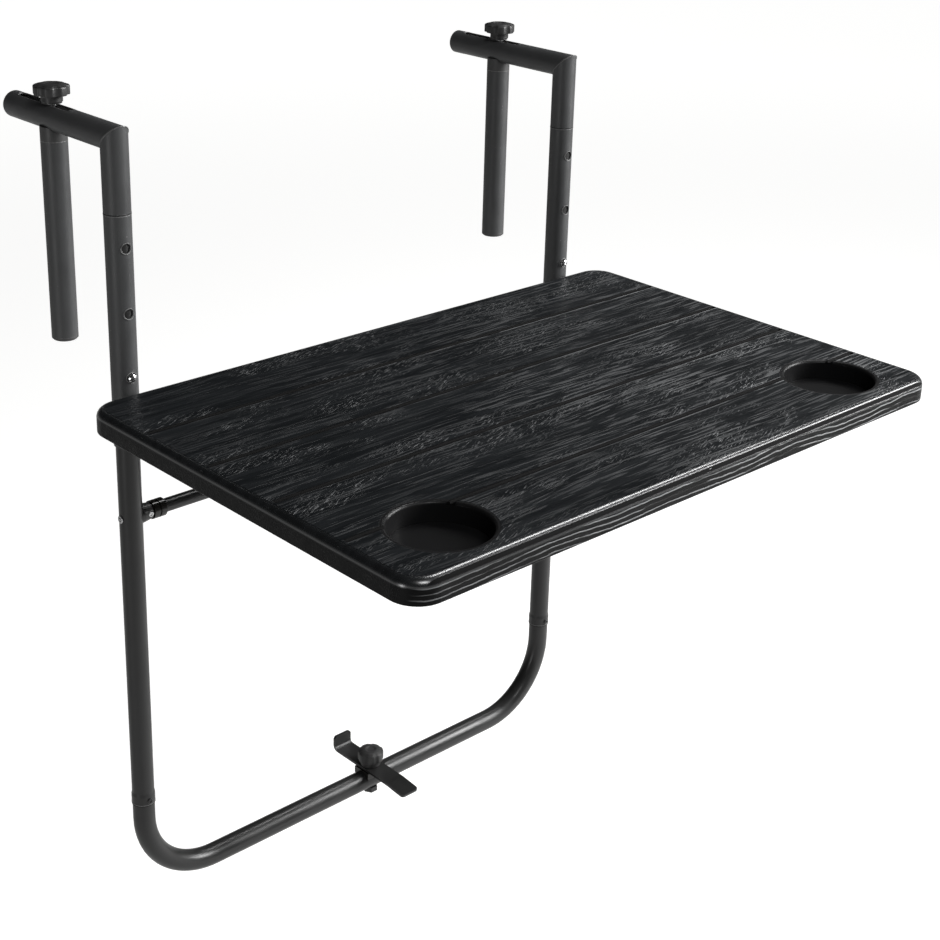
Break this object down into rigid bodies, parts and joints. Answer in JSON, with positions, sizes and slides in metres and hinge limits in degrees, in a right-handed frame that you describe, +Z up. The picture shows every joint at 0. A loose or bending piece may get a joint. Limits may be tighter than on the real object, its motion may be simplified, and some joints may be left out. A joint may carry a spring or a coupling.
{
  "type": "balcony railing bar table",
  "caption": "Folding black table that hangs on a balcony rail by slotted hook arms, with cup recesses, a height-set frame, a support bail and a lower hook.",
  "frame": {"origin": "midway between the hook arms, on the line where the arms' underside meets the posts' rear faces: the top front edge of the rail", "axes": "+X along the rail to the user's right, +Y away from the user across the rail, +Z up"},
  "size_m": [0.6, 0.5682, 0.747],
  "materials": {
    "powder_coat_black": "fine textured satin black powder coat on steel tube",
    "satin_black_tube": "smooth satin black powder coat on steel tube",
    "board_plastic": "black polypropylene, moulded wood grain, semi-matt",
    "knob_plastic": "black moulded plastic, fine spark texture",
    "cap_plastic": "black moulded plastic, satin",
    "boss_plastic": "dark grey moulded plastic",
    "zinc_steel": "bright zinc plated steel",
    "button_chrome": "bright nickel plated steel",
    "spring_steel": "tempered spring steel",
    "bracket_black": "black powder coat on pressed steel"
  },
  "bodies": {
    "hooks": {"left_hook_arm": "powder_coat_black", "right_hook_arm": "powder_coat_black", "left_riser": "powder_coat_black", "right_riser": "powder_coat_black", "left_inner_tube": "satin_black_tube", "right_inner_tube": "satin_black_tube", "left_arm_cap": "cap_plastic", "right_arm_cap": "cap_plastic", "left_button_spring": "spring_steel", "right_button_spring": "spring_steel"},
    "left_rear_hook": {"left_rear_tube": "powder_coat_black", "left_rear_saddle": "cap_plastic", "left_rear_nut": "zinc_steel", "left_rear_foot": "cap_plastic"},
    "right_rear_hook": {"right_rear_tube": "powder_coat_black", "right_rear_saddle": "cap_plastic", "right_rear_nut": "zinc_steel", "right_rear_foot": "cap_plastic"},
    "left_clamp_knob": {"left_rear_knob": "knob_plastic", "left_knob_stud": "zinc_steel", "left_knob_washer": "zinc_steel"},
    "right_clamp_knob": {"right_rear_knob": "knob_plastic", "right_knob_stud": "zinc_steel", "right_knob_washer": "zinc_steel"},
    "left_button": {"left_snap_button": "button_chrome"},
    "right_button": {"right_snap_button": "button_chrome"},
    "frame": {"left_post": "powder_coat_black", "right_post": "powder_coat_black", "left_leg": "satin_black_tube", "right_leg": "satin_black_tube", "lower_bow": "satin_black_tube", "leg_screws": "zinc_steel", "bow_screws": "zinc_steel", "left_hinge_arm": "bracket_black", "right_hinge_arm": "bracket_black", "left_pivot_boss": "boss_plastic", "right_pivot_boss": "boss_plastic", "pivot_bolts": "zinc_steel", "boss_screws": "zinc_steel", "hook_saddle": "cap_plastic", "hook_bolt": "zinc_steel"},
    "table_top": {"left_hinge_leaf": "bracket_black", "right_hinge_leaf": "bracket_black", "hinge_pins": "zinc_steel", "leaf_screws": "zinc_steel", "table_board": "board_plastic", "left_bar_clip": "cap_plastic", "right_bar_clip": "cap_plastic", "clip_screws": "zinc_steel"},
    "support_bail": {"support_bar": "satin_black_tube", "left_bar_ferrule": "cap_plastic", "right_bar_ferrule": "cap_plastic"},
    "lower_hook": {"hook_plate": "bracket_black"},
    "lower_hook_knob": {"hook_knob": "knob_plastic"}
  },
  "joints": [
    {"name": "height_slide", "type": "slide", "parent": "hooks", "child": "frame", "axis": [0, 0, -1], "range_m": [0, 0.11], "deforming": ["left_snap_button", "right_snap_button", "left_button_spring", "right_button_spring"]},
    {"name": "left_rear_hook_slide", "type": "slide", "parent": "hooks", "child": "left_rear_hook", "axis": [0, 1, 0], "range_m": [-0.0275, 0.0445]},
    {"name": "left_knob_turn", "type": "hinge", "parent": "left_rear_hook", "child": "left_clamp_knob", "pos_m": [-0.253, 0.08075, 0.03], "axis": [0, 0, 1], "continuous": true},
    {"name": "left_button_press", "type": "slide", "parent": "hooks", "child": "left_button", "axis": [0, 1, 0], "range_m": [0, 0.0046], "stiffness_N_per_m": 900, "springref_m": -0.002, "deforming": ["left_button_spring"]},
    {"name": "right_rear_hook_slide", "type": "slide", "parent": "hooks", "child": "right_rear_hook", "axis": [0, 1, 0], "range_m": [-0.0275, 0.0445]},
    {"name": "right_knob_turn", "type": "hinge", "parent": "right_rear_hook", "child": "right_clamp_knob", "pos_m": [0.253, 0.08075, 0.03], "axis": [0, 0, 1], "continuous": true},
    {"name": "right_button_press", "type": "slide", "parent": "hooks", "child": "right_button", "axis": [0, 1, 0], "range_m": [0, 0.0046], "stiffness_N_per_m": 900, "springref_m": -0.002, "deforming": ["right_button_spring"]},
    {"name": "table_fold", "type": "hinge", "parent": "frame", "child": "table_top", "pos_m": [0, -0.04, -0.228], "axis": [1, 0, 0], "range_deg": [0, 90], "deforming": ["left_bar_clip", "right_bar_clip"]},
    {"name": "bail_swing", "type": "hinge", "parent": "frame", "child": "support_bail", "pos_m": [0, -0.01125, -0.316], "axis": [1, 0, 0], "range_deg": [0, 112.5]},
    {"name": "lower_hook_turn", "type": "hinge", "parent": "frame", "child": "lower_hook", "pos_m": [0.015, -0.01125, -0.679], "axis": [0, 0, 1], "range_deg": [-90, 90]},
    {"name": "lower_knob_turn", "type": "hinge", "parent": "frame", "child": "lower_hook_knob", "pos_m": [0.015, -0.01125, -0.669], "axis": [0, 0, 1], "continuous": true}
  ],
  "couplings": [
    {"joint": "bail_swing", "follows": "table_fold", "ratio": 1.25}
  ]
}
